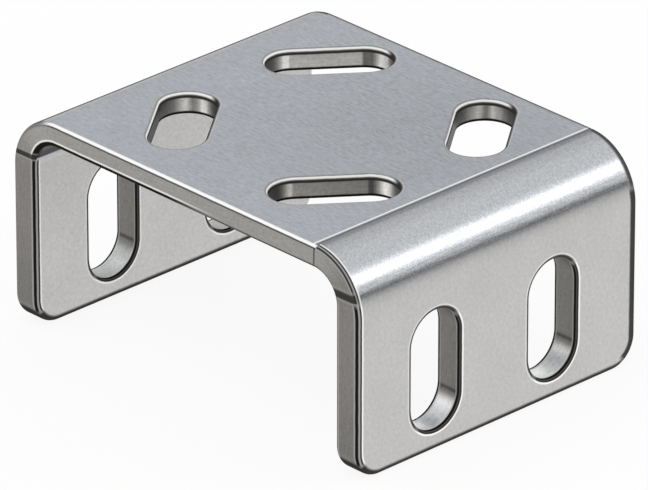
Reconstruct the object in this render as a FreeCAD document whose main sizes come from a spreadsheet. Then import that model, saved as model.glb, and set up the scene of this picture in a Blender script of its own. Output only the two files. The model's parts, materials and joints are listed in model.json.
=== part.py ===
import FreeCAD, Part
import math
import os
import Sketcher

# Stamped U bracket, folded from one thick sheet: a top plate, two bends and two flanges with rounded feet.
# X runs across the channel, Y along the bends and Z up. The origin is under the middle, level with the feet.
# The flanges are thicker than the plate, and the metal thins from one to the other through each bend.

# Driving dimensions, in millimetres and degrees.
SIZES = {
    "Width": 80.0,             # outside of one flange to outside of the other
    "Depth": 62.0,             # length of the sheet along the bends
    "Height": 38.2,            # feet to the top face
    "PlateThickness": 4.0,     # the top plate
    "FlangeThickness": 5.2,    # the two flanges
    "OuterBendRadius": 10.0,   # outside of each bend
    "InnerBendRadius": 5.0,    # inside of each bend
    "CornerRadius": 5.0,       # lower corners of the flanges
    "EdgeRadius": 0.9,         # rounding all along the sheet's outline
    "RimChamfer": 0.5,         # flat break round both rims of each slot
    "TopSlotWidth": 9.5,       # four slanted slots in the top plate
    "TopSlotLength": 21.0,     # over both round ends
    "TopSlotAngle": 52.0,      # between a slot and the X axis
    "TopPitchAcross": 35.0,    # slot centre to slot centre along X
    "TopPitchAlong": 32.5,     # slot centre to slot centre along Y
    "TopSlotsShift": 1.6,      # the pattern's centre, along the bends from the middle of the plate
    "SideSlotWidth": 10.5,     # two upright slots in each flange
    "SideSlotLength": 21.0,    # over both round ends
    "SidePitch": 26.0,         # slot centre to slot centre along Y
    "SideSlotsShift": -0.9,    # the pair's centre, along the bends from the middle of the flange
    "SideSlotHeight": 14.1,    # slot centre above the feet
}

START, END, CENTRE = 1, 2, 3   # the points of a sketch line or arc
X_AXIS, Y_AXIS = -1, -2        # the sketch's own axes
ORIGIN = (X_AXIS, START)
NEAR = 1e-4                    # two places closer than this are the same, in millimetres
TANGENT = 0.999                # cosine above which two faces meet smoothly


def make_sheet(doc):
    """Puts every driving dimension in a cell of its own, under its name."""
    sheet = doc.addObject("Spreadsheet::Sheet", "Sizes")
    for row, (name, value) in enumerate(SIZES.items(), start=1):
        sheet.set(f"A{row}", name)
        sheet.set(f"B{row}", str(value))
        sheet.setAlias(f"B{row}", name)
    doc.recompute()
    return sheet


def origin_plane(body, role):
    return next(item for item in body.Origin.OriginFeatures if item.Role == role)


def add_sketch(body, name, role):
    """An empty sketch on one of the body's origin planes."""
    sketch = body.newObject("Sketcher::SketchObject", name)
    sketch.AttachmentSupport = (origin_plane(body, role), [""])
    sketch.MapMode = "FlatFace"
    return sketch


def point(x, y):
    return FreeCAD.Vector(x, y, 0)


def add_line(sketch, a, b, construction=False):
    return sketch.addGeometry(Part.LineSegment(point(*a), point(*b)), construction)


def add_arc(sketch, centre, radius, first, last):
    """An arc from one angle to the next, anticlockwise, in degrees."""
    circle = Part.Circle(point(*centre), FreeCAD.Vector(0, 0, 1), radius)
    return sketch.addGeometry(Part.ArcOfCircle(circle, math.radians(first), math.radians(last)), False)


def constrain(sketch, kind, *terms):
    return sketch.addConstraint(Sketcher.Constraint(kind, *terms))


def drive(sketch, name, expression, kind, *terms):
    """A dimension with a name of its own, bound to the sheet."""
    number = constrain(sketch, kind, *terms)
    sketch.renameConstraint(number, name)
    sketch.setExpression(f"Constraints.{name}", expression)


def draw_profile(body, sheet):
    """The folded sheet seen along the bends, as one closed outline that is the same left and right."""
    half, top = sheet.Width / 2, sheet.Height
    plate, flange = sheet.PlateThickness, sheet.FlangeThickness
    outer, inner = sheet.OuterBendRadius, sheet.InnerBendRadius
    outer_x, outer_z = half - outer, top - outer
    inner_x, inner_z = half - flange - inner, top - plate - inner
    sketch = add_sketch(body, "Profile", "XZ_Plane")

    left_outside = add_line(sketch, (-half, 0), (-half, outer_z))
    left_outer_bend = add_arc(sketch, (-outer_x, outer_z), outer, 90, 180)
    top_face = add_line(sketch, (-outer_x, top), (outer_x, top))
    right_outer_bend = add_arc(sketch, (outer_x, outer_z), outer, 0, 90)
    right_outside = add_line(sketch, (half, outer_z), (half, 0))
    right_foot = add_line(sketch, (half, 0), (half - flange, 0))
    right_inside = add_line(sketch, (half - flange, 0), (half - flange, inner_z))
    right_inner_bend = add_arc(sketch, (inner_x, inner_z), inner, 0, 90)
    underside = add_line(sketch, (inner_x, top - plate), (-inner_x, top - plate))
    left_inner_bend = add_arc(sketch, (-inner_x, inner_z), inner, 90, 180)
    left_inside = add_line(sketch, (-half + flange, inner_z), (-half + flange, 0))
    left_foot = add_line(sketch, (-half + flange, 0), (-half, 0))

    for first, first_end, second, second_end in (
        (left_outside, END, left_outer_bend, END),
        (left_outer_bend, START, top_face, START),
        (top_face, END, right_outer_bend, END),
        (right_outer_bend, START, right_outside, START),
        (right_inside, END, right_inner_bend, START),
        (right_inner_bend, END, underside, START),
        (underside, END, left_inner_bend, START),
        (left_inner_bend, END, left_inside, START),
    ):
        constrain(sketch, "Tangent", first, first_end, second, second_end)
    for first, first_end, second, second_end in (
        (right_outside, END, right_foot, START),
        (right_foot, END, right_inside, START),
        (left_inside, END, left_foot, START),
        (left_foot, END, left_outside, START),
    ):
        constrain(sketch, "Coincident", first, first_end, second, second_end)
    for line in (left_outside, right_outside, right_inside, left_inside):
        constrain(sketch, "Vertical", line)
    for line in (top_face, underside, right_foot, left_foot):
        constrain(sketch, "Horizontal", line)
    constrain(sketch, "Symmetric", left_outside, START, right_outside, END, Y_AXIS)
    constrain(sketch, "PointOnObject", right_foot, START, X_AXIS)
    constrain(sketch, "Equal", right_outer_bend, left_outer_bend)
    constrain(sketch, "Equal", right_inner_bend, left_inner_bend)
    constrain(sketch, "Equal", right_foot, left_foot)

    drive(sketch, "Across", "Sizes.Width", "DistanceX", left_outside, START, right_outside, END, 2 * half)
    drive(sketch, "Tall", "Sizes.Height", "DistanceY", *ORIGIN, top_face, START, top)
    drive(sketch, "PlateWall", "Sizes.PlateThickness", "DistanceY", underside, START, top_face, END, plate)
    drive(sketch, "FlangeWall", "Sizes.FlangeThickness", "DistanceX", right_foot, END, right_foot, START, flange)
    drive(sketch, "BendOutside", "Sizes.OuterBendRadius", "Radius", right_outer_bend, outer)
    drive(sketch, "BendInside", "Sizes.InnerBendRadius", "Radius", right_inner_bend, inner)
    return sketch


def draw_slot(sketch, centre, width, length, angle, names):
    """One slot with round ends. The names are the sheet's, for the centre (two), the width and the length."""
    reach = (length - width) / 2
    radius = width / 2
    turn = math.radians(angle)

    def along(distance, aside):
        return (centre[0] + distance * math.cos(turn) - aside * math.sin(turn),
                centre[1] + distance * math.sin(turn) + aside * math.cos(turn))

    near_side = add_line(sketch, along(-reach, -radius), along(reach, -radius))
    far_end = add_arc(sketch, along(reach, 0), radius, angle - 90, angle + 90)
    far_side = add_line(sketch, along(reach, radius), along(-reach, radius))
    near_end = add_arc(sketch, along(-reach, 0), radius, angle + 90, angle + 270)
    middle_line = add_line(sketch, along(-reach, 0), along(reach, 0), construction=True)
    middle = sketch.addGeometry(Part.Point(point(*centre)), True)

    constrain(sketch, "Tangent", near_side, END, far_end, START)
    constrain(sketch, "Tangent", far_end, END, far_side, START)
    constrain(sketch, "Tangent", far_side, END, near_end, START)
    constrain(sketch, "Tangent", near_end, END, near_side, START)
    constrain(sketch, "Equal", near_end, far_end)
    constrain(sketch, "Coincident", middle_line, START, near_end, CENTRE)
    constrain(sketch, "Coincident", middle_line, END, far_end, CENTRE)
    constrain(sketch, "Symmetric", middle_line, START, middle_line, END, middle, START)

    place_x, place_y, wide, long = names
    drive(sketch, "CentreAcross", place_x, "DistanceX", *ORIGIN, middle, START, centre[0])
    drive(sketch, "CentreAlong", place_y, "DistanceY", *ORIGIN, middle, START, centre[1])
    drive(sketch, "EndRadius", f"{wide} / 2", "Radius", far_end, radius)
    drive(sketch, "Centres", f"{long} - {wide}", "Distance", middle_line, 2 * reach)
    return middle_line


def fold_sheet(body, sheet):
    """The outline drawn out to both sides of the middle, along the bends."""
    pad = body.newObject("PartDesign::Pad", "FoldedSheet")
    pad.Profile = draw_profile(body, sheet)
    pad.SideType = "Symmetric"
    pad.setExpression("Length", "Sizes.Depth")
    return pad


def round_feet(body, sheet, folded):
    """Large radii on the four lower corners of the flanges, seen from the side."""
    corners = [
        f"Edge{number}"
        for number, edge in enumerate(folded.Shape.Edges, start=1)
        if edge.BoundBox.ZMax < NEAR and edge.BoundBox.YLength < NEAR
    ]
    fillet = body.newObject("PartDesign::Fillet", "FootCorners")
    fillet.Base = (folded, corners)
    fillet.setExpression("Radius", "Sizes.CornerRadius")
    return fillet


def mirror_cut(body, cut, name, *axes):
    """Repeats a cut across its own sketch's axes, which stand in the middle of the pattern."""
    pattern = body.newObject("PartDesign::MultiTransform", name)
    pattern.Originals = [cut]
    steps = []
    for axis in axes:
        step = body.newObject("PartDesign::Mirrored", f"{name}{axis[0]}")
        step.MirrorPlane = (cut.Profile[0], [axis])
        steps.append(step)
    pattern.Transformations = steps
    body.Tip = pattern
    return pattern


def cut_top_slots(body, sheet):
    """One slanted slot is cut down through the top plate, then mirrored into the other three quarters."""
    sketch = add_sketch(body, "TopSlot", "XY_Plane")
    sketch.setExpression(".AttachmentOffset.Base.y", "Sizes.TopSlotsShift")
    sketch.setExpression(".AttachmentOffset.Base.z", "Sizes.Height")
    middle_line = draw_slot(
        sketch, (sheet.TopPitchAcross / 2, sheet.TopPitchAlong / 2), sheet.TopSlotWidth, sheet.TopSlotLength,
        180 - sheet.TopSlotAngle,
        ("Sizes.TopPitchAcross / 2", "Sizes.TopPitchAlong / 2", "Sizes.TopSlotWidth", "Sizes.TopSlotLength"))
    slant = math.radians(180 - sheet.TopSlotAngle)
    drive(sketch, "Slant", "(180 - Sizes.TopSlotAngle) * 1 deg", "Angle", middle_line, slant)
    cut = body.newObject("PartDesign::Pocket", "TopSlotCut")
    cut.Profile = sketch
    cut.setExpression("Length", "Sizes.PlateThickness + Sizes.InnerBendRadius")
    return mirror_cut(body, cut, "TopSlots", "V_Axis", "H_Axis")


def cut_side_slots(body, sheet):
    """One upright slot is cut through both flanges at once, then mirrored to the other end."""
    sketch = add_sketch(body, "SideSlot", "YZ_Plane")
    sketch.setExpression(".AttachmentOffset.Base.x", "Sizes.SideSlotsShift")
    middle_line = draw_slot(
        sketch, (sheet.SidePitch / 2, sheet.SideSlotHeight), sheet.SideSlotWidth, sheet.SideSlotLength, 90,
        ("Sizes.SidePitch / 2", "Sizes.SideSlotHeight", "Sizes.SideSlotWidth", "Sizes.SideSlotLength"))
    constrain(sketch, "Vertical", middle_line)
    cut = body.newObject("PartDesign::Pocket", "SideSlotCut")
    cut.Profile = sketch
    cut.SideType = "Symmetric"
    cut.setExpression("Length", "Sizes.Width + Sizes.FlangeThickness")
    return mirror_cut(body, cut, "SideSlots", "V_Axis")


def is_sharp(shape, edge):
    """True where the two faces at an edge meet at an angle, and don't run into each other smoothly."""
    middle = edge.valueAt((edge.FirstParameter + edge.LastParameter) / 2)
    normals = []
    for face in shape.ancestorsOfType(edge, Part.Face):
        u, v = face.Surface.parameter(middle)
        normals.append(face.normalAt(u, v))
    return len(normals) == 2 and normals[0].dot(normals[1]) < TANGENT


def slot_rims(shape):
    """The edges round the holes of the flat faces."""
    return [
        edge
        for face in shape.Faces
        for wire in face.Wires
        if not wire.isSame(face.OuterWire)
        for edge in wire.Edges
    ]


def edge_names(shape, wanted):
    return [f"Edge{number}" for number, edge in enumerate(shape.Edges, start=1) if wanted(edge)]


def round_outline(body, cut):
    """The rounding along both faces of the sheet's outline, over the feet and round the bends."""
    shape = cut.Shape
    rims = slot_rims(shape)
    fillet = body.newObject("PartDesign::Fillet", "OutlineRounding")
    fillet.Base = (cut, edge_names(
        shape, lambda edge: is_sharp(shape, edge) and not any(edge.isSame(rim) for rim in rims)))
    fillet.setExpression("Radius", "Sizes.EdgeRadius")
    return fillet


def chamfer_rims(body, rounded):
    """The deburred rims of the slots, on both faces of the sheet."""
    shape = rounded.Shape
    rims = slot_rims(shape)
    chamfer = body.newObject("PartDesign::Chamfer", "SlotRims")
    chamfer.Base = (rounded, edge_names(shape, lambda edge: any(edge.isSame(rim) for rim in rims)))
    chamfer.setExpression("Size", "Sizes.RimChamfer")
    return chamfer


def make_bracket(doc, sheet):
    body = doc.addObject("PartDesign::Body", "Bracket")
    body.Label = "bracket"
    folded = fold_sheet(body, sheet)
    doc.recompute()
    rounded = round_feet(body, sheet, folded)
    doc.recompute()
    top_cut = cut_top_slots(body, sheet)
    doc.recompute()
    side_cut = cut_side_slots(body, sheet)
    doc.recompute()
    outline = round_outline(body, side_cut)
    doc.recompute()
    deburred = chamfer_rims(body, outline)
    body.Tip = deburred
    body.Placement = FreeCAD.Placement()
    doc.recompute()
    return body, [folded, rounded, top_cut, side_cut, outline, deburred]


def check(doc, body, steps):
    """Stops where an object has failed, or where a cut or a rounding has taken nothing away."""
    for item in doc.Objects:
        if "Invalid" in item.State or "Error" in item.State:
            raise RuntimeError(f"{item.Label} has failed: {item.State}")
    if body.Shape.isNull() or not body.Shape.isValid() or len(body.Shape.Solids) != 1:
        raise RuntimeError(f"{body.Label} isn't one valid solid")
    volumes = [step.Shape.Volume for step in steps]
    for step, before, after in zip(steps[1:], volumes, volumes[1:]):
        if after >= before:
            raise RuntimeError(f"{step.Label} takes nothing away")
        print(f"{step.Label}: {before - after:.1f} mm3 taken away")


def main():
    doc = FreeCAD.newDocument("StampedBracket")
    sheet = make_sheet(doc)
    body, steps = make_bracket(doc, sheet)
    check(doc, body, steps)
    os.makedirs("parts", exist_ok=True)
    body.Shape.exportStep(f"parts/{body.Label}.step")
    box = body.Shape.optimalBoundingBox(False)
    print(f"{body.Label}: {body.Shape.Volume:.1f} mm3, {box.XLength:.2f} x {box.YLength:.2f} x {box.ZLength:.2f} mm")


main()
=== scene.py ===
import json
import math

import bmesh
import bpy
from mathutils import Matrix, Vector


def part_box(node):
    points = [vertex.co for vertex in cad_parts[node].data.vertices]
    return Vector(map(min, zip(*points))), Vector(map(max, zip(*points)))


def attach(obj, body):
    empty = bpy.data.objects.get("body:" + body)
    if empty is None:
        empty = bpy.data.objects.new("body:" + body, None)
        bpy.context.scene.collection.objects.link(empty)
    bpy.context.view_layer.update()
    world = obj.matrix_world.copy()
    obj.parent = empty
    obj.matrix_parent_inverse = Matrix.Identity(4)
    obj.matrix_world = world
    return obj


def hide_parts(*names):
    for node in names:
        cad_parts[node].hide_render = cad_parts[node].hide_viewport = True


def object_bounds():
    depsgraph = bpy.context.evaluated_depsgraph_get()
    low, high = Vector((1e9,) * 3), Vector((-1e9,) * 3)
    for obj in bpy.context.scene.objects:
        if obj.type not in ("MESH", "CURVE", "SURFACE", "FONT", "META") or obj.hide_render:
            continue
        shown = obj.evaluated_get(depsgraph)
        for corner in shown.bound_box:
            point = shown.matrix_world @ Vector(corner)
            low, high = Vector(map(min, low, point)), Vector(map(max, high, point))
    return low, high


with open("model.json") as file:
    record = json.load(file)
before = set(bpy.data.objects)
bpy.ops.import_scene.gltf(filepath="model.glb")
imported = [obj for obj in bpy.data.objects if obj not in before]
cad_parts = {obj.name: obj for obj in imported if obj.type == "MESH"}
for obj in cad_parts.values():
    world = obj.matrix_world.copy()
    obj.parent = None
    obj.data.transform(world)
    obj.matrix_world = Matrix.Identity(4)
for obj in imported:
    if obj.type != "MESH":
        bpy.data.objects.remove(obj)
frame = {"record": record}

scene = bpy.context.scene
cadLow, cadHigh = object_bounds()
mounts = {mount["name"]: mount for mount in frame["record"]["mounts"]}
mm = 0.001
nearby = 0.01 * mm               # two places closer than this are the same
parallel = 0.99                  # cosine above which an edge runs along an axis
justAbove = 0.0001               # keeps what divides off zero


# Shader helpers
def connect(plug, value):
    if isinstance(value, Value):
        plug.id_data.links.new(value.socket, plug)
    else:
        plug.default_value = value


class Value:
    # wraps a socket, so that shader maths is written as Python expressions
    def __init__(self, socket):
        self.socket = socket

    def math(self, operation, first, second):
        node = self.socket.id_data.nodes.new("ShaderNodeMath")
        node.operation = operation
        connect(node.inputs[0], first)
        connect(node.inputs[1], second)
        return Value(node.outputs[0])

    def __add__(self, other):
        return self.math("ADD", self, other)

    def __radd__(self, other):
        return self.math("ADD", other, self)

    def __sub__(self, other):
        return self.math("SUBTRACT", self, other)

    def __rsub__(self, other):
        return self.math("SUBTRACT", other, self)

    def __mul__(self, other):
        return self.math("MULTIPLY", self, other)

    def __rmul__(self, other):
        return self.math("MULTIPLY", other, self)

    def __truediv__(self, other):
        return self.math("DIVIDE", self, other)

    def __abs__(self):
        return self.math("MAXIMUM", self, 0 - self)

    def atLeast(self, low):
        return self.math("MAXIMUM", self, low)

    def atMost(self, high):
        return self.math("MINIMUM", self, high)


def setStops(ramp, stops):
    # each stop has a place from 0 to 1, a colour and a strength, which is the ramp's alpha
    ramp.elements.remove(ramp.elements[1])
    for number, (place, colour, strength) in enumerate(stops):
        element = ramp.elements.new(place) if number else ramp.elements[0]
        element.position = place
        element.color = (*colour, strength)


class Shader:
    # the node tree of one material or world
    def __init__(self, owner):
        owner.use_nodes = True
        self.tree = owner.node_tree
        self.tree.nodes.clear()

    def add(self, kind, settings=None, plugs=None, output=0):
        # output None gives all the outputs
        node = self.tree.nodes.new(kind)
        for name, value in (settings or {}).items():
            if name == "stops":
                setStops(node.color_ramp, value)
            else:
                setattr(node, name, value)
        for name, value in (plugs or {}).items():
            connect(node.inputs[name], value)
        if output is None:
            return [Value(plug) for plug in node.outputs]
        return Value(node.outputs[output]) if node.outputs else None

    def function(self, operation, *terms):
        return self.add("ShaderNodeMath", {"operation": operation}, dict(enumerate(terms)))

    def hypot(self, a, b):
        return self.function("SQRT", a * a + b * b)

    def join(self, x, y, z):
        return self.add("ShaderNodeCombineXYZ", {}, {0: x, 1: y, 2: z})

    def split(self, vector):
        return self.add("ShaderNodeSeparateXYZ", {}, {0: vector}, output=None)

    def noise(self, vector, scale, detail, roughness):
        # centred on zero
        plugs = {"Vector": vector, "Scale": scale, "Detail": detail, "Roughness": roughness}
        return self.add("ShaderNodeTexNoise", {}, plugs) - 0.5

    def step(self, value, low, high):
        # 0 below low, 1 above high and a smooth step between
        plugs = {"Value": value, "From Min": low, "From Max": high}
        return self.add("ShaderNodeMapRange", {"interpolation_type": "SMOOTHSTEP"}, plugs)

    def hill(self, value, middle, reach):
        # 1 at the middle and 0 further off than its reach
        return 1 - self.step(abs(value - middle), 0.0, reach)

    def fade(self, name, value):
        return self.step(value, *fades[name])

    def peak(self, name, value):
        return self.hill(value, *peaks[name])

    def side(self, name, outX, outY):
        # 1 on that side of a slot, by the direction out from the slot's middle line
        sideX, sideY, low, high = slotSides[name]
        return self.step(outX * sideX + outY * sideY, low, high)

    def stripes(self, distance, marks):
        # colour and strength of a row of painted lines, across a distance in millimetres
        low, high = marks[0][0], marks[-1][0]
        stops = [((place - low) / (high - low), colour, strength) for place, colour, strength in marks]
        return self.add("ShaderNodeValToRGB", {"stops": stops}, {0: (distance - low) / (high - low)}, output=None)

    def mix(self, share, first, second):
        return self.add("ShaderNodeMix", {"data_type": "RGBA"}, {0: share, 6: first, 7: second}, output=2)

    def scale(self, colour, amount):
        return self.add("ShaderNodeVectorMath", {"operation": "SCALE"}, {0: colour, "Scale": amount})


# The bracket: one thick sheet, slotted and folded
bracketSizes = {
    "outerBendRadius": 10.0 * mm,
    "innerBendRadius": 5.0 * mm,
    "cornerRadius": 5.0 * mm,    # lower corners of the flanges
    "outlineRadius": 0.9 * mm,   # rounding all along the sheet's outline
    "rimRadius": 0.5 * mm,       # rounding of the slots' rims
    "topSlotAngle": 52,          # between the slots in the plate and the X axis
    "bendSteps": 36,
    "cornerSteps": 16,
    "slotSteps": 30,             # round each end of a slot
    "outlineSteps": 6,
    "rimSteps": 5,
    "cutterReach": 1.5,          # of the slot cutters to either side, in thicknesses of the sheet
    "sharpAngle": 40,            # edges that turn further than this are rounded
    "scoreShift": -0.15 * mm,    # press mark, from the start of the right bend
    "scoreWidth": 0.5 * mm,
    "scoreDepth": 0.05 * mm,
}


def edgesWhere(bm, test):
    return [edge for edge in bm.edges if test((edge.verts[0].co + edge.verts[1].co) / 2, edge)]


def roundEdges(bm, edges, radius, steps):
    bmesh.ops.bevel(bm, geom=edges, offset=radius, offset_type="OFFSET", segments=steps, profile=0.5,
                    affect="EDGES", clamp_overlap=False, material=-1)


def vertsOf(geometry):
    return [item for item in geometry if isinstance(item, bmesh.types.BMVert)]


def runsAlong(edge, axis):
    return abs((edge.verts[0].co - edge.verts[1].co).normalized()[axis]) > parallel


def foldedSheet(sizes):
    # the folded sheet without its slots
    low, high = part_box("bracket")
    plate, flange = sizes["plate"], sizes["flange"]
    ceiling = high.z - plate
    outline = [(low.x, 0), (low.x, high.z), (high.x, high.z), (high.x, 0),
               (high.x - flange, 0), (high.x - flange, ceiling), (low.x + flange, ceiling), (low.x + flange, 0)]
    bm = bmesh.new()
    profile = bm.faces.new([bm.verts.new((x, low.y, z)) for x, z in outline])
    drawn = bmesh.ops.extrude_face_region(bm, geom=[profile])["geom"]
    bmesh.ops.translate(bm, vec=(0, high.y - low.y, 0), verts=vertsOf(drawn))
    bmesh.ops.recalc_face_normals(bm, faces=bm.faces)

    roundEdges(bm, edgesWhere(bm, lambda middle, edge: runsAlong(edge, 1) and middle.z > high.z - nearby),
               sizes["outerBendRadius"], sizes["bendSteps"])
    roundEdges(bm, edgesWhere(bm, lambda middle, edge: runsAlong(edge, 1) and abs(middle.z - ceiling) < nearby),
               sizes["innerBendRadius"], sizes["bendSteps"])
    roundEdges(bm, edgesWhere(bm, lambda middle, edge: runsAlong(edge, 0) and middle.z < nearby),
               sizes["cornerRadius"], sizes["cornerSteps"])
    return bm


def addSlotCutter(bm, mount, turn, reach, steps):
    # a prism with round ends, drawn flat in XY and then stood in its place
    radius = mount["dims"]["hole_r_mm"] * mm
    half = mount["dims"]["slot_length_mm"] * mm / 2 - radius
    before = set(bm.verts)
    first = bm.verts.new((half, -radius, -reach))
    rightEnd = bmesh.ops.spin(bm, geom=[first], cent=(half, 0, 0), axis=(0, 0, 1), angle=math.pi, steps=steps)
    side = bmesh.ops.extrude_vert_indiv(bm, verts=vertsOf(rightEnd["geom_last"]))["verts"]
    bmesh.ops.translate(bm, vec=(-2 * half, 0, 0), verts=side)
    leftEnd = bmesh.ops.spin(bm, geom=side, cent=(-half, 0, 0), axis=(0, 0, 1), angle=math.pi, steps=steps)
    bmesh.ops.contextual_create(bm, geom=[first] + vertsOf(leftEnd["geom_last"]))
    ring = [vert for vert in bm.verts if vert not in before]
    face = bmesh.ops.contextual_create(bm, geom=list({edge for vert in ring for edge in vert.link_edges}))["faces"]
    drawn = vertsOf(bmesh.ops.extrude_face_region(bm, geom=face)["geom"])
    bmesh.ops.translate(bm, vec=(0, 0, 2 * reach), verts=drawn)
    bmesh.ops.transform(bm, matrix=turn, verts=ring + drawn)


def slotCutters(sizes):
    bm = bmesh.new()
    slant = math.radians(sizes["topSlotAngle"])
    for name, mount in mounts.items():
        place = Matrix.Translation(mount["pos_m"])
        if name.startswith("top_slot"):
            # the slots lean towards the middle of the front and back edges
            front = name.endswith("front")
            right = "right" in name
            turn = Matrix.Rotation(slant if front == right else -slant, 4, "Z")
            addSlotCutter(bm, mount, place @ turn, sizes["cutterReach"] * sizes["plate"], sizes["slotSteps"])
        elif name.startswith("side_slot"):
            turn = Matrix.Rotation(math.radians(90), 4, "Y")
            addSlotCutter(bm, mount, place @ turn, sizes["cutterReach"] * sizes["flange"], sizes["slotSteps"])
    bmesh.ops.recalc_face_normals(bm, faces=bm.faces)
    return bm


def meshObject(name, bm):
    mesh = bpy.data.meshes.new(name)
    bm.to_mesh(mesh)
    bm.free()
    piece = bpy.data.objects.new(name, mesh)
    scene.collection.objects.link(piece)
    return piece


def settle(piece):
    # the mesh as its modifiers leave it
    bpy.context.view_layer.update()
    shown = piece.evaluated_get(bpy.context.evaluated_depsgraph_get())
    done = bpy.data.meshes.new_from_object(shown)
    piece.modifiers.clear()
    piece.data = done


def onRim(point, sizes):
    # true near a slot's edge, on either face of the sheet
    reach = max(sizes["plate"], sizes["flange"])
    for name, mount in mounts.items():
        if "_slot_" in name:
            half = mount["dims"]["slot_length_mm"] * mm / 2
            if (point - Vector(mount["pos_m"])).length < math.hypot(half, reach) + 10 * nearby:
                return True
    return False


def scoreBend(bm, sizes):
    # a shallow groove over the plate and down its cut edges, where the right bend starts
    middle = cadHigh.x - sizes["outerBendRadius"] + sizes["scoreShift"]
    half = sizes["scoreWidth"] / 2
    for aside in (-half, 0, half):
        bmesh.ops.bisect_plane(bm, geom=bm.verts[:] + bm.edges[:] + bm.faces[:], dist=nearby / 10,
                               plane_co=(middle + aside, 0, 0), plane_no=(1, 0, 0))
    bm.normal_update()
    inside = cadHigh.z - sizes["plate"] + 10 * nearby
    marked = {vert for vert in bm.verts if abs(vert.co.x - middle) < nearby and vert.co.z > inside}
    for vert in marked:
        vert.co -= vert.normal * sizes["scoreDepth"]
    for edge in bm.edges:
        if marked.issuperset(edge.verts):
            edge.smooth = False


def makeBracket(sizes):
    plateUnder = mounts["plate_underside"]["pos_m"][2]
    flangeMiddle = mounts["right_foot"]["pos_m"][0]
    sizes["plate"] = cadHigh.z - plateUnder
    sizes["flange"] = 2 * (cadHigh.x - flangeMiddle)
    piece = meshObject("foldedSheet", foldedSheet(sizes))
    cutters = meshObject("slotCutters", slotCutters(sizes))
    cut = piece.modifiers.new("slots", "BOOLEAN")
    cut.operation = "DIFFERENCE"
    cut.solver = "EXACT"
    cut.object = cutters
    settle(piece)
    bpy.data.objects.remove(cutters)

    bm = bmesh.new()
    bm.from_mesh(piece.data)
    bmesh.ops.remove_doubles(bm, verts=bm.verts, dist=nearby / 10)
    sharpAngle = math.radians(sizes["sharpAngle"])
    sharp = edgesWhere(bm, lambda middle, edge: edge.calc_face_angle(0) > sharpAngle)
    outline = [edge for edge in sharp if not onRim((edge.verts[0].co + edge.verts[1].co) / 2, sizes)]
    roundEdges(bm, outline, sizes["outlineRadius"], sizes["outlineSteps"])
    rims = edgesWhere(bm, lambda middle, edge: edge.calc_face_angle(0) > sharpAngle)
    roundEdges(bm, rims, sizes["rimRadius"], sizes["rimSteps"])
    for face in bm.faces:
        face.smooth = True
    scoreBend(bm, sizes)
    bm.to_mesh(piece.data)
    bm.free()
    even = piece.modifiers.new("even", "WEIGHTED_NORMAL")
    even.keep_sharp = True
    print("bracket:", len(piece.data.polygons), "faces")
    return piece


# Steel: brushed plate, satin flanges, rougher cut faces, and painted highlights and painted shade as bright and dark
# lines along the turned edges
white = (0.95, 0.95, 0.94)
light = (0.34, 0.33, 0.32)
umber = (0.180, 0.168, 0.150)
# deep grey of painted shade lines
deepShade = (0.085, 0.080, 0.074)
shade = (0.178, 0.172, 0.166)
dark = (0.036, 0.034, 0.032)
black = (0.012, 0.011, 0.010)
steelLook = {
    "plate": (0.336, 0.354, 0.382),
    "bend": (0.485, 0.498, 0.520),
    "flange": (0.555, 0.549, 0.540),
    "plateEnd": (0.325, 0.315, 0.304),
    "flangeEnd": (0.222, 0.212, 0.199),
    # painted light and shade: the slots' walls come in lit and shaded copies, lighter where they face up and in the
    # back slots
    "sideWall": (0.200, 0.192, 0.181),
    "lowWall": (0.488, 0.492, 0.494),
    "frontWall": (0.360, 0.350, 0.335),
    "backWall": (0.570, 0.556, 0.536),
    "wallMost": (0.97, 0.96, 0.94),
    "roughPlate": 0.34,
    "roughBend": 0.22,
    "roughFlange": 0.38,
    "roughCut": 0.45,
    "roughEdge": 0.30,
    "plateGrain": {"strokes": 1.15, "brushed": 0.45, "fine": 0.24, "cloud": 0.12},
    "bendGrain": {"mottle": 0.75, "fine": 1.05},
    "flangeGrain": {"mottle": 0.44, "fine": 0.34, "cloud": 0.14},
    "cutGrain": {"speckle": 0.75, "drawn": 0.40},
    "raggedGrain": 1.3,          # painted reflection: streaks in the colour under the right bend's highlight
    "strokeDepth": 0.004,        # depths in millimetres
    "mottleDepth": 0.003,
    "streakDepth": 0.010,
    "cutDepth": {"speckle": 0.02, "drawn": 0.01},
    "wander": 0.10,              # of the painted lines to either side, in millimetres
    "plateLevel": 1.10,          # brightness of the plate
    "patchPlace": (12, 9),       # a slightly dimmer patch of the plate, in millimetres from its middle
    "patchReach": 42,
    "patchDim": 0.13,
    "leftDim": 0.40,             # of the plate towards the left bend
    "flangeLevel": 1.01,         # brightness of the flanges
    "flangeDim": 0.035,          # of the flanges towards their top
    "scoreShadow": ((0.55, 1.7, 0.30), (0.8, 5.0, 0.26)),    # beside the press mark: from, to and strength
    "endLevel": 0.85,            # brightness of the cut ends at the feet
    "endRise": 0.15,             # gain of the cut ends above the feet
    "leftEnd": 0.24,             # painted highlight on the cut ends at the left bend
    "rightEnd": 0.30,            # loss from that at the right bend
    "endGleam": 0.06,            # painted highlight where the cut ends start to face down
    "roundSlide": 11,            # shift of the painted reflections in the two slots at the back, in degrees
    "alongSlide": 7,
    "rearDim": 0.8,              # loss of the painted reflections at the right of those slots
    "wallLeast": 0.40,           # painted shade: walls of the flanges' slots where they face down
    "wallLine": 0.60,            # painted shade along the line where a wall turns up
    "lowWallRight": 0.92,        # painted light: gain of the right flange's low walls
}
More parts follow.
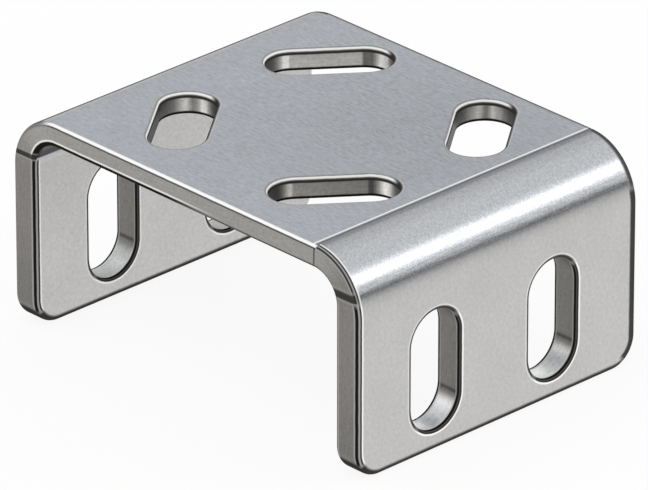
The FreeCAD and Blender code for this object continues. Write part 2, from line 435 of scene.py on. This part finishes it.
# Noise: stretch along the sheet, along the bends and through the sheet, then scale, detail and roughness
grains = {
    "strokes": ((0.45, 1.7, 1), 1.8, 4, 0.66),
    "brushed": ((0.12, 0.8, 1), 1.7, 3, 0.6),
    "mottle": ((1, 1, 1), 1.5, 4, 0.66),
    "fine": ((1, 1, 1), 3.8, 3, 0.6),
    "cloud": ((1, 1, 1), 0.10, 2, 0.5),
    "streaks": ((1.7, 0.13, 1), 1.5, 4, 0.62),
    "speckle": ((1, 1, 1), 1.9, 4, 0.72),
    "drawn": ((0.22, 0.22, 1.8), 1.6, 3, 0.6),
    "wander": ((1, 1, 1), 0.55, 2, 0.5),
}
# Where one region fades into the next: each note also holds for the lines below it
fades = {
    "onBend": (0.0, 0.25),         # turn of the outer bend in radians
    "towardLeft": (0.0, 0.30),
    "bent": (0.01, 0.06),
    "plateLines": (0.05, 0.5),
    "endTone": (0.1, 1.2),
    "leftLines": (0.15, 0.5),
    "ridgeStart": (0.33, 0.44),
    "bentLeft": (0.5, 0.9),
    "ridgeEnd": (0.60, 0.70),
    "onFlange": (1.10, 1.35),
    "leg": (1.20, 1.36),
    "hollowStart": (0.02, 0.10),   # turn of the inner bend in radians
    "hollowEnd": (1.22, 1.34),
    "innerLeg": (1.30, 1.42),
    "right": (-0.5, 0.5),          # places in millimetres
    "rear": (-1, 3),
    "underRight": (-4, 10),
    "endRise": (4, 20),
    "flangeTop": (8, 30),
    "pastScore": (-0.1, 0.1),
    "bentRight": (-0.05, 0.15),
    "outward": (-0.1, 0.1),
    "nearRim": (-0.02, 0.02),
    "offSkin": (-0.1, 0.2),        # distance over an edge in millimetres
    "overEnds": (0.3, 0.6),
    "rimCut": (0.72, 0.82),
    "endCut": (0.78, 0.92),
    "overFoot": (0.9, 1.3),
    "leaning": (-1, 1),            # product of two distances in millimetres
    "front": (0.80, 0.93),         # way round a foot's corner, 0 below and 1 at the front or back
    "back": (0.3, 0.6),
    "aheadOrBehind": (0.6, 0.9),
    "footSlope": (-0.46, -0.28),   # upward part of the surface's direction
    "wallRise": (-0.80, -0.1),
    "lowRim": (0.2, 0.6),
    "lowWall": (0.22, 0.60),
    "alongSlide": (-80, -62),      # heading of a slot's wall in degrees
    "roundSlide": (-56, -44),
    "rearDim": (-12, 12),
}
# Middle and reach of what swells and fades again: each note also holds for the lines below it
peaks = {
    "ragged": (1.12, 0.24),        # turn of the outer bend in radians
    "bendEnd": (0.8, 0.85),
    "scoreEnd": (0.1, 0.34),       # millimetres from the press mark
    "endGleam": (-0.26, 0.08),     # upward part of the surface's direction
    "wallLine": (0.12, 0.12),
}
# Sides of the slots that get painted highlights or painted shade: a direction on the sheet, then the cosines to it
# where that side starts and is full
slotSides = {
    "topLit": (-0.88, 0.39, -0.40, 0.02),
    "topAside": (0.69, 0.72, 0.72, 0.94),
    "sideLit": (0.62, -0.78, -0.12, 0.22),
}
# Painted highlights and painted shade as lines across an edge: distance in millimetres from where the skin ends,
# colour and strength
edgeMarks = {
    "legFront": [(-0.38, white, 0), (-0.27, white, 1), (-0.08, white, 1), (0.03, dark, 1), (0.24, dark, 1),
                 (0.36, light, 0.9), (0.54, light, 0.9), (0.66, black, 1), (1.08, black, 1), (1.20, light, 1),
                 (1.38, light, 0.9), (1.52, light, 0)],
    "bendFront": [(-0.36, white, 0), (-0.24, white, 0.9), (-0.10, white, 0.7), (0.02, umber, 1), (0.12, dark, 1),
                  (0.24, dark, 1), (0.34, light, 1), (0.46, light, 0.9), (0.58, dark, 1), (0.78, dark, 1),
                  (0.90, light, 1), (1.02, light, 0.9), (1.14, light, 0)],
    "leftFront": [(-0.05, dark, 0), (0.15, dark, 0.8), (0.40, dark, 0.8), (0.60, shade, 0.9), (1.05, shade, 0.9),
                  (1.30, shade, 0)],
    "plateFront": [(0.16, white, 0), (0.40, white, 0.95), (0.76, white, 0.95), (0.90, dark, 0.9),
                   (1.04, dark, 0.8), (1.16, dark, 0)],
    "underRight": [(0.48, dark, 0), (0.66, dark, 0.85), (1.10, dark, 0.85), (1.32, dark, 0)],
    "underFront": [(0.42, black, 0), (0.56, black, 1), (1.40, black, 1), (1.54, white, 0.76),
                   (1.70, white, 0.66), (1.86, white, 0)],
    "foot": [(-0.36, black, 0), (-0.04, black, 0.8), (0.14, black, 0.95), (1.45, black, 0.95), (1.60, black, 0)],
    "back": [(-0.92, dark, 0), (-0.60, dark, 0.95), (1.45, dark, 1), (1.60, dark, 0)],
    "backBend": [(-0.60, dark, 0), (-0.20, dark, 0.9), (1.45, dark, 1), (1.60, dark, 0)],
    "plateBack": [(-0.40, shade, 0), (-0.10, shade, 0.5), (0.10, dark, 0.9), (1.40, dark, 1), (1.60, dark, 0)],
    "sideRim": [(-0.38, white, 0), (-0.26, white, 1), (-0.04, white, 1), (0.06, dark, 1), (0.24, dark, 1),
                (0.33, deepShade, 1), (0.42, deepShade, 1), (0.50, black, 1), (0.84, black, 1), (0.94, light, 1),
                (1.10, light, 0.9), (1.24, light, 0)],
    "sideRimShade": [(-0.46, white, 0), (-0.34, white, 0.5), (-0.22, white, 0.4), (-0.06, dark, 0.9), (0.40, dark, 1),
                     (0.60, umber, 0.8), (0.90, umber, 0)],
    "plateRim": [(-0.04, umber, 0), (0.12, umber, 0.5), (0.30, umber, 0.5), (0.42, white, 1), (0.68, white, 1),
                 (0.82, umber, 1), (1.02, dark, 1), (1.28, dark, 1), (1.46, dark, 0)],
    "plateRimShade": [(-0.20, umber, 0), (0.06, umber, 0.55), (0.40, umber, 0.55), (0.60, umber, 0)],
    "asideRim": [(-0.20, white, 0), (-0.08, white, 0.3), (0.04, umber, 0.6), (0.20, deepShade, 0.9), (0.34, dark, 1),
                 (0.92, dark, 1), (1.10, dark, 0)],
    "lowRim": [(0.90, white, 0), (1.00, white, 0.75), (1.14, white, 0.75), (1.28, white, 0)],
    "underRim": [(0.10, black, 0), (0.30, black, 1), (0.84, black, 1), (1.02, black, 0)],
}
# Painted highlight and painted shade as lines beside the press mark
scoreMarks = [(-0.78, white, 0), (-0.62, white, 0.85), (-0.44, white, 0.85), (-0.26, dark, 0.1),
              (-0.08, dark, 0.8), (0.12, dark, 0.8), (0.34, dark, 0)]
# Dark band over the cut end of each leg, where the bend ends
foldBand = {
    "height": 31.27,             # above the feet in millimetres
    "slope": 0.0141,
    "leftNarrower": 0.45,
}
foldMarks = [(-1.05, light, 0), (-0.85, light, 0.45), (-0.70, light, 0.3), (-0.50, dark, 0.95), (0.42, dark, 0.95),
             (0.66, dark, 0.7), (0.90, light, 0.45), (1.35, light, 0)]
mostGleam = 2.5                  # highest brightness factor of the painted reflections on a slot's wall


def greys(stops):
    # brightness factors as the stops of a ramp
    return [(place, (factor / mostGleam,) * 3, 1) for place, factor in stops]


# Painted reflections: brightness of the walls of the plate's slots, by the heading they face in degrees from +X
# towards +Y
wallGleams = {
    "along": greys([(-180, 0.30), (-120, 0.25), (-108, 0.32), (-99, 0.55), (-92, 1.0), (-86, 1.8), (-80, 2.4),
                    (-73, 2.5), (-67, 1.7), (-61, 0.95), (-55, 0.50), (-49, 0.25), (-43, 0.30), (-39, 0.90),
                    (-36, 1.1), (-31, 2.2), (-25, 1.9), (-19, 1.05), (-13, 0.58), (-8, 0.36), (-3, 0.24), (4, 0.19),
                    (20, 0.15), (60, 0.12), (180, 0.30)]),
    "roundFront": greys([(-180, 0.5), (-144, 0.24), (-128, 0.16), (-112, 0.27), (-103, 0.45), (-96, 0.75),
                         (-88, 1.5), (-82, 2.5), (-72, 2.5), (-66, 1.3), (-59, 0.78), (-52, 0.62), (-46, 1.1),
                         (-40, 1.8), (-34, 1.7), (-27, 1.35), (-21, 0.95), (-14, 0.62), (-6, 0.46), (6, 0.30),
                         (28, 0.16), (35, 0.10), (39, 0.13), (180, 0.35)]),
    "roundBack": greys([(-180, 0.5), (-144, 0.24), (-128, 0.18), (-94, 0.22), (-82, 0.33), (-76, 0.38),
                        (-67, 0.70), (-59, 1.15), (-53, 0.75), (-48, 0.47), (-42, 0.60), (-36, 1.2), (-31, 1.4),
                        (-26, 1.2), (-21, 0.90), (-13, 0.58), (-4, 0.33), (6, 0.26), (28, 0.16), (35, 0.08),
                        (39, 0.09), (180, 0.35)]),
}


def slotPlace(shader, at, kind, sizes):
    # inset from the rims of the plate's or the flanges' slots, and which side of a slot this is
    slant = math.radians(sizes["topSlotAngle"])
    behind, front = mounts[kind + "_right_back"], mounts[kind + "_right_front"]
    radius = behind["dims"]["hole_r_mm"]
    half = behind["dims"]["slot_length_mm"] / 2 - radius
    fromY = at["y"] - (behind["pos_m"][1] + front["pos_m"][1]) / 2 / mm
    slotY = abs(fromY) - (behind["pos_m"][1] - front["pos_m"][1]) / 2 / mm
    if kind == "top_slot":
        slotX = abs(at["x"]) - behind["pos_m"][0] / mm
        lengthwise = slotY * math.sin(slant) - slotX * math.cos(slant)
        across = slotX * math.sin(slant) + slotY * math.cos(slant)
    else:
        lengthwise = at["z"] - behind["pos_m"][2] / mm
        across = slotY
    past = (abs(lengthwise) - half).atLeast(0)
    spread = shader.hypot(past, across)
    past = past * shader.function("SIGN", lengthwise)
    at[kind] = spread - radius
    signY = shader.function("SIGN", fromY)
    if kind == "top_slot":
        outX = (across * math.sin(slant) - past * math.cos(slant)) * shader.function("SIGN", at["x"]) / spread
        outY = (across * math.cos(slant) + past * math.sin(slant)) * signY / spread
        at["topLit"] = shader.side("topLit", outX, outY)
        at["topAside"] = shader.side("topAside", outX, outY)
        at["leaning"] = shader.fade("leaning", fromY * at["x"])    # 1 at the slots that lean along the view
    else:
        at["sideLit"] = shader.side("sideLit", across * signY / spread, past / spread)


def sheetPlace(shader, sizes):
    # depths below both skins, insets from the outline and from the slots' rims, all in millimetres
    place = shader.add("ShaderNodeTexCoord", output="Object")
    x, y, z = shader.split(shader.scale(place, 1 / mm))
    halfWidth, halfDepth, height = cadHigh.x / mm, cadHigh.y / mm, cadHigh.z / mm
    plate, flange = sizes["plate"] / mm, sizes["flange"] / mm
    outer, inner, corner = (sizes[name] / mm for name in ("outerBendRadius", "innerBendRadius", "cornerRadius"))
    overX = (abs(x) - (halfWidth - outer)).atLeast(0)
    overZ = (z - (height - outer)).atLeast(0)
    innerX = (abs(x) - (halfWidth - flange - inner)).atLeast(0)
    innerZ = (z - (height - plate - inner)).atLeast(0)
    at = {"x": x, "y": y, "z": z}
    at["normal"] = shader.split(shader.add("ShaderNodeTexCoord", output="Normal"))
    at["outside"] = outer - shader.hypot(overX, overZ)
    at["inside"] = shader.hypot(innerX, innerZ) - inner
    at["turn"] = shader.function("ARCTAN2", overX, overZ)
    at["innerTurn"] = shader.function("ARCTAN2", innerX, innerZ)
    along = abs(x).atMost(halfWidth - outer) + at["turn"] * outer + (height - outer - z).atLeast(0)
    at["run"] = along * shader.function("SIGN", x)    # along the whole sheet, from its middle
    at["fromScore"] = at["run"] - (halfWidth - outer)

    overY = (abs(y) - (halfDepth - corner)).atLeast(0)
    away = shader.hypot(overY, (corner - z).atLeast(0))
    at["outline"] = corner - away
    at["ahead"] = overY * shader.function("SIGN", y) / away.atLeast(justAbove)    # -1 at the front edge, 1 at the back
    for kind in ("top_slot", "side_slot"):
        slotPlace(shader, at, kind, sizes)

    at["outward"] = shader.fade("outward", at["inside"] - at["outside"])
    at["onFlange"] = shader.fade("onFlange", at["turn"])
    at["right"] = shader.fade("right", x)
    for name, (stretch, scale, detail, roughness) in grains.items():
        stretched = shader.join(at["run"] * stretch[0], y * stretch[1], at["outside"] * stretch[2])
        at[name] = shader.noise(stretched, scale, detail, roughness)
    return at


def edgeTravel(shader, inset, depth, radius):
    # distance over the rounding: below 0 on the skin, past its quarter circle on the cut face
    turned = shader.function("ARCTAN2", (radius - inset).atLeast(0), (radius - depth).atLeast(justAbove))
    return turned * radius - (inset - radius).atLeast(0) + (depth - radius).atLeast(0)


def blend(at, shares):
    # several grains added up, each with its share
    return sum(at[name] * share for name, share in shares.items())


def paintSkins(shader, at, look):
    x, y, z, turn, innerTurn = (at[name] for name in ("x", "y", "z", "turn", "innerTurn"))
    right, outward, fromScore = at["right"], at["outward"], at["fromScore"]
    patchX, patchY = look["patchPlace"]
    patch = shader.hill(shader.hypot(x - patchX, y - patchY), 0, look["patchReach"])
    level = look["plateLevel"] - patch * look["patchDim"]
    level = level - shader.fade("towardLeft", turn) * (1 - right) * look["leftDim"]
    plate = shader.scale(look["plate"], level + blend(at, look["plateGrain"]))
    shadow = sum((1 - shader.step(fromScore, low, high)) * share for low, high, share in look["scoreShadow"])
    lit = 1 - shadow * right * shader.fade("pastScore", fromScore)
    # painted reflection: streaks in the colour under the right bend's highlight
    ragged = shader.peak("ragged", turn)
    bend = 1 + blend(at, look["bendGrain"]) + at["streaks"] * look["raggedGrain"] * ragged
    bend = shader.scale(look["bend"], bend * lit)
    flange = look["flangeLevel"] + blend(at, look["flangeGrain"]) - shader.fade("flangeTop", z) * look["flangeDim"]
    bentSkin = shader.fade("bentRight", fromScore) * right + shader.fade("bentLeft", turn) * (1 - right)
    colour = shader.mix(bentSkin, plate, bend)
    colour = shader.mix(at["onFlange"], colour, shader.scale(look["flange"], flange))
    paint, share = shader.stripes(fromScore, scoreMarks)
    colour = shader.mix(share * right * outward, colour, paint)
    # the hollow of the bend, in the shadow of the plate
    hollow = (1 - outward) * shader.fade("hollowStart", innerTurn) * (1 - shader.fade("hollowEnd", innerTurn))
    colour = shader.mix(hollow, colour, (*dark, 1))
    height = at["strokes"] * (1 - shader.fade("onBend", turn)) * look["strokeDepth"] \
        + at["mottle"] * look["mottleDepth"] + at["streaks"] * ragged * look["streakDepth"]
    return colour, height


def paintWalls(shader, at, look):
    # walls of the slots, with painted reflections by their heading in the plate, and painted light and shade by their
    # slope in the flanges
    leaning, rear = at["leaning"], shader.fade("rear", at["y"])
    normalX, normalY, normalZ = at["normal"]
    heading = shader.function("ARCTAN2", normalY, normalX) * (180 / math.pi)
    slide = (1 - leaning) * (1 - shader.fade("roundSlide", heading)) * look["roundSlide"] \
        + leaning * (1 - shader.fade("alongSlide", heading)) * look["alongSlide"]
    heading = heading + rear * slide
    gleams = {name: shader.stripes(heading, stops)[0] for name, stops in wallGleams.items()}
    gleam = shader.mix(leaning, gleams["along"], shader.mix(rear, gleams["roundFront"], gleams["roundBack"]))
    gleam = shader.scale(gleam, mostGleam - rear * shader.fade("rearDim", heading) * look["rearDim"])
    plateWall = shader.mix(rear, (*look["frontWall"], 1), (*look["backWall"], 1))
    plateWall = shader.add("ShaderNodeVectorMath", {"operation": "MULTIPLY"}, {0: plateWall, 1: gleam})
    plateWall = shader.add("ShaderNodeVectorMath", {"operation": "MINIMUM"}, {0: plateWall, 1: look["wallMost"]})
    rise = look["wallLeast"] + (1 - look["wallLeast"]) * shader.fade("wallRise", normalZ) \
        - shader.peak("wallLine", normalZ) * look["wallLine"]
    sideWall = shader.scale(look["sideWall"], rise)
    lowWall = shader.scale(look["lowWall"], 1 + at["right"] * look["lowWallRight"])
    sideWall = shader.mix(shader.fade("lowWall", normalZ), sideWall, lowWall)
    return shader.mix(at["onFlange"], plateWall, sideWall)


def paintCuts(shader, at, look):
    # cut ends of the sheet, with painted highlights at the left bend and where they start to face down, and walls of
    # the slots
    ends = shader.mix(shader.fade("endTone", at["turn"]), (*look["plateEnd"], 1), (*look["flangeEnd"], 1))
    level = look["endLevel"] + shader.fade("endRise", at["z"]) * look["endRise"] \
        + shader.peak("bendEnd", at["turn"]) * (look["leftEnd"] - at["right"] * look["rightEnd"]) \
        + shader.peak("endGleam", at["normal"][2]) * look["endGleam"]
    ends = shader.scale(ends, level)
    ends = shader.mix(shader.peak("scoreEnd", at["fromScore"]), ends, (*dark, 1))
    colour = shader.mix(at["nearRim"], ends, paintWalls(shader, at, look))
    return shader.scale(colour, 1 + blend(at, look["cutGrain"])), blend(at, look["cutDepth"])


def paintEdges(shader, at, colour):
    # painted highlights and painted shade: each region has lines of its own
    turn, innerTurn, outward, right = (at[name] for name in ("turn", "innerTurn", "outward", "right"))
    inward, left = 1 - outward, 1 - right
    front, back = shader.fade("front", 0 - at["ahead"]), shader.fade("back", at["ahead"])
    bent, leg, innerLeg = shader.fade("bent", turn), shader.fade("leg", turn), shader.fade("innerLeg", innerTurn)
    outline, rim = 1 - at["nearRim"], at["nearRim"]
    onSide, onPlate = at["onFlange"], 1 - at["onFlange"]
    underRight = shader.fade("underRight", at["x"])
    masks = {
        "plateFront": outline * front * outward * (1 - bent * right) * (1 - shader.fade("plateLines", turn)),
        "bendFront": outline * front * outward * right * bent * (1 - leg),
        "leftFront": outline * front * outward * left * shader.fade("leftLines", turn),
        "legFront": outline * front * (outward * right * leg + inward * innerLeg),
        "underFront": outline * front * inward * (1 - innerLeg) * (1 - underRight),
        "underRight": outline * front * inward * (1 - innerLeg) * underRight,
        "plateBack": outline * back * (1 - bent),
        "backBend": outline * back * outward * bent * (1 - leg),
        "back": outline * back * outward * leg,
        "foot": outline * (1 - front) * (1 - back),
        "sideRim": rim * onSide * at["sideLit"],
        "sideRimShade": rim * onSide * (1 - at["sideLit"]),
        "lowRim": rim * onSide * shader.fade("lowRim", at["normal"][2]),
        "plateRim": rim * onPlate * outward * at["topLit"],
        "plateRimShade": rim * onPlate * outward * (1 - at["topLit"]),
        "asideRim": rim * onPlate * outward * at["topAside"],
        "underRim": rim * onPlate * inward,
    }
    painted = 0
    for name, mask in masks.items():
        distance = at["overRim"] if name.endswith(("Rim", "RimShade")) else at["overOutline"]
        paint, share = shader.stripes(distance, edgeMarks[name])
        colour = shader.mix(share * mask, colour, paint)
        painted = painted + share * mask

    # dark bands over the cut ends of the legs, and painted shade on the foot corners that face down
    ends = outline * shader.fade("overEnds", at["overOutline"]) * shader.fade("aheadOrBehind", abs(at["ahead"]))
    fromFold = at["z"] - foldBand["height"] - at["x"] * foldBand["slope"]
    paint, share = shader.stripes(fromFold * (1 + left * foldBand["leftNarrower"]), foldMarks)
    colour = shader.mix(share * ends, colour, paint)
    painted = painted + share * ends
    foot = outline * shader.fade("overFoot", at["overOutline"]) * (1 - shader.fade("footSlope", at["normal"][2]))
    colour = shader.mix(foot, colour, (*dark, 1))
    # painted shade: a dark line along the left bend, where it turns away
    ridgeShade = left * outward * (1 - shader.fade("offSkin", at["overOutline"])) \
        * shader.fade("ridgeStart", turn) * (1 - shader.fade("ridgeEnd", turn))
    colour = shader.mix(ridgeShade, colour, (*deepShade, 1))
    return colour, (painted + foot + ridgeShade).atMost(1)


def steelMaterial(look, sizes):
    material = bpy.data.materials.new("brushedSteel")
    shader = Shader(material)
    at = sheetPlace(shader, sizes)
    depth = at["outside"].atMost(at["inside"]).atLeast(0)
    rim = at["top_slot"].atMost(at["side_slot"])
    wander = at["wander"] * look["wander"]
    at["overOutline"] = edgeTravel(shader, at["outline"], depth, sizes["outlineRadius"] / mm) + wander
    at["overRim"] = edgeTravel(shader, rim, depth, sizes["rimRadius"] / mm) + wander
    at["nearRim"] = shader.fade("nearRim", at["outline"] - rim)
    cut = shader.fade("endCut", at["overOutline"]) * (1 - at["nearRim"]) \
        + shader.fade("rimCut", at["overRim"]) * at["nearRim"]

    skin, skinHeight = paintSkins(shader, at, look)
    cutColour, cutHeight = paintCuts(shader, at, look)
    colour, painted = paintEdges(shader, at, shader.mix(cut, skin, cutColour))

    onBend = shader.fade("onBend", at["turn"]) * (1 - at["onFlange"])
    rough = look["roughPlate"] + (look["roughBend"] - look["roughPlate"]) * onBend \
        + (look["roughFlange"] - look["roughPlate"]) * at["onFlange"]
    rough = rough + (look["roughCut"] - rough) * cut
    rough = rough + (look["roughEdge"] - rough) * painted
    height = skinHeight * (1 - cut) + cutHeight * cut
    bump = shader.add("ShaderNodeBump", {}, {"Height": height, "Distance": mm, "Strength": 1.0})
    surface = shader.add("ShaderNodeBsdfPrincipled", {}, {
        "Base Color": colour, "Metallic": 1 - painted, "Roughness": rough, "Specular IOR Level": 0.0,
        "Normal": bump})
    shader.add("ShaderNodeOutputMaterial", {}, {"Surface": surface})
    return material


bracket = makeBracket(bracketSizes)
bracket.data.materials.clear()
bracket.data.materials.append(steelMaterial(steelLook, bracketSizes))
print("steel set")
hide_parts("bracket")
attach(bracket, "root")

# Camera, at the photograph's viewing angle
photoView = {
    "azimuth": 46.25,
    "elevation": 26.2,
    "distance": 1.598,
    "lens": 552.9,
    "sensor": 36,
    "clipStart": 0.05,
    "clipEnd": 50,
    "drop": 1.78 * mm,           # of the aim below the middle of the bracket, along the picture
}


def makeCamera(view):
    turn, rise = math.radians(view["azimuth"]), math.radians(view["elevation"])
    back = Vector((math.sin(turn) * math.cos(rise), -math.cos(turn) * math.cos(rise), math.sin(rise)))
    aim = back.to_track_quat("Z", "Y")
    target = Vector((0, 0, cadHigh.z / 2)) - aim @ Vector((0, view["drop"], 0))
    data = bpy.data.cameras.new("camera")
    data.sensor_width = view["sensor"]
    data.lens = view["lens"]
    data.clip_start = view["clipStart"]
    data.clip_end = view["clipEnd"]
    camera = bpy.data.objects.new("camera", data)
    camera.location = target + back * view["distance"]
    camera.rotation_mode = "QUATERNION"
    camera.rotation_quaternion = aim
    scene.collection.objects.link(camera)
    scene.camera = camera


makeCamera(photoView)
print("camera set")

# Studio: white room, pale floor, softboxes and a dark card for the metal to mirror
studio = {
    "roomDiffuse": 0.9,          # strength of the room where it only lights
    "floorSize": 6.0,
    "floorTone": 0.9,
    "floorGlow": 0.90,           # the rest of the floor takes the shadow
    "cardMiddle": 40,            # azimuth from +X towards +Y, in degrees
    "cardReach": 45,
    "cardRadius": 1.3,
    "cardLow": 0.058,
    "cardHigh": 0.32,
    "cardTone": 0.04,
    "cardSteps": 40,
}
softboxes = {
    # direction to the lamp: azimuth from +X towards +Y and elevation, then distance, width, height and radiance
    "bendSoftbox": (48, 32.3, 0.9, 0.60, 0.21, 1.7),
    "topSoftbox": (232, 62, 1.1, 0.80, 0.55, 1.2),
}


def makeRoom(settings):
    world = bpy.data.worlds.new("room")
    scene.world = world
    shader = Shader(world)
    path = "ShaderNodeLightPath"
    mirrored = shader.add(path, output="Is Glossy Ray").atLeast(shader.add(path, output="Is Transmission Ray"))
    seen = shader.add(path, output="Is Camera Ray").atLeast(mirrored)
    strength = settings["roomDiffuse"] + (1 - settings["roomDiffuse"]) * seen
    room = shader.add("ShaderNodeBackground", {}, {"Color": (1, 1, 1, 1), "Strength": strength})
    shader.add("ShaderNodeOutputWorld", {}, {"Surface": room})


def makeFloor(settings):
    bm = bmesh.new()
    bmesh.ops.create_grid(bm, x_segments=1, y_segments=1, size=settings["floorSize"] / 2)
    floor = meshObject("floor", bm)
    material = bpy.data.materials.new("paleFloor")
    shader = Shader(material)
    tone = settings["floorTone"]
    matte = shader.add("ShaderNodeBsdfDiffuse", {}, {"Color": (tone, tone, tone, 1)})
    glow = shader.add("ShaderNodeEmission", {}, {"Color": (1, 1, 1, 1), "Strength": 1.0})
    both = shader.add("ShaderNodeMixShader", {}, {0: settings["floorGlow"], 1: matte, 2: glow})
    shader.add("ShaderNodeOutputMaterial", {}, {"Surface": both})
    floor.data.materials.append(material)


def makeDarkCard(settings):
    # a curved card low behind the camera's right, mirrored as the dark streak under the bend's highlight
    bm = bmesh.new()
    start = math.radians(settings["cardMiddle"] - settings["cardReach"])
    foot = Vector((math.cos(start), math.sin(start), 0)) * settings["cardRadius"]
    low = bm.verts.new((foot.x, foot.y, settings["cardLow"]))
    high = bm.verts.new((foot.x, foot.y, settings["cardHigh"]))
    edge = bm.edges.new((low, high))
    bmesh.ops.spin(bm, geom=[low, high, edge], cent=(0, 0, 0), axis=(0, 0, 1),
                   angle=math.radians(2 * settings["cardReach"]), steps=settings["cardSteps"])
    band = meshObject("darkCard", bm)
    material = bpy.data.materials.new("blackCard")
    shader = Shader(material)
    tone = settings["cardTone"]
    card = shader.add("ShaderNodeEmission", {}, {"Color": (tone, tone, tone, 1), "Strength": 1.0})
    shader.add("ShaderNodeOutputMaterial", {}, {"Surface": card})
    band.data.materials.append(material)
    band.visible_camera = False
    band.visible_diffuse = False
    band.visible_shadow = False


def makeSoftbox(name, azimuth, elevation, distance, width, height, radiance):
    turn, rise = math.radians(azimuth), math.radians(elevation)
    out = Vector((math.cos(turn) * math.cos(rise), math.sin(turn) * math.cos(rise), math.sin(rise)))
    data = bpy.data.lights.new(name, "AREA")
    data.shape = "RECTANGLE"
    data.size = width
    data.size_y = height
    data.energy = radiance * math.pi * width * height
    lamp = bpy.data.objects.new(name, data)
    lamp.location = Vector((0, 0, cadHigh.z / 2)) + out * distance
    lamp.rotation_mode = "QUATERNION"
    lamp.rotation_quaternion = out.to_track_quat("Z", "Y")
    lamp.visible_camera = False
    scene.collection.objects.link(lamp)


makeRoom(studio)
makeFloor(studio)
makeDarkCard(studio)
for name, values in softboxes.items():
    makeSoftbox(name, *values)
scene.view_settings.view_transform = "Standard"
print("studio set")
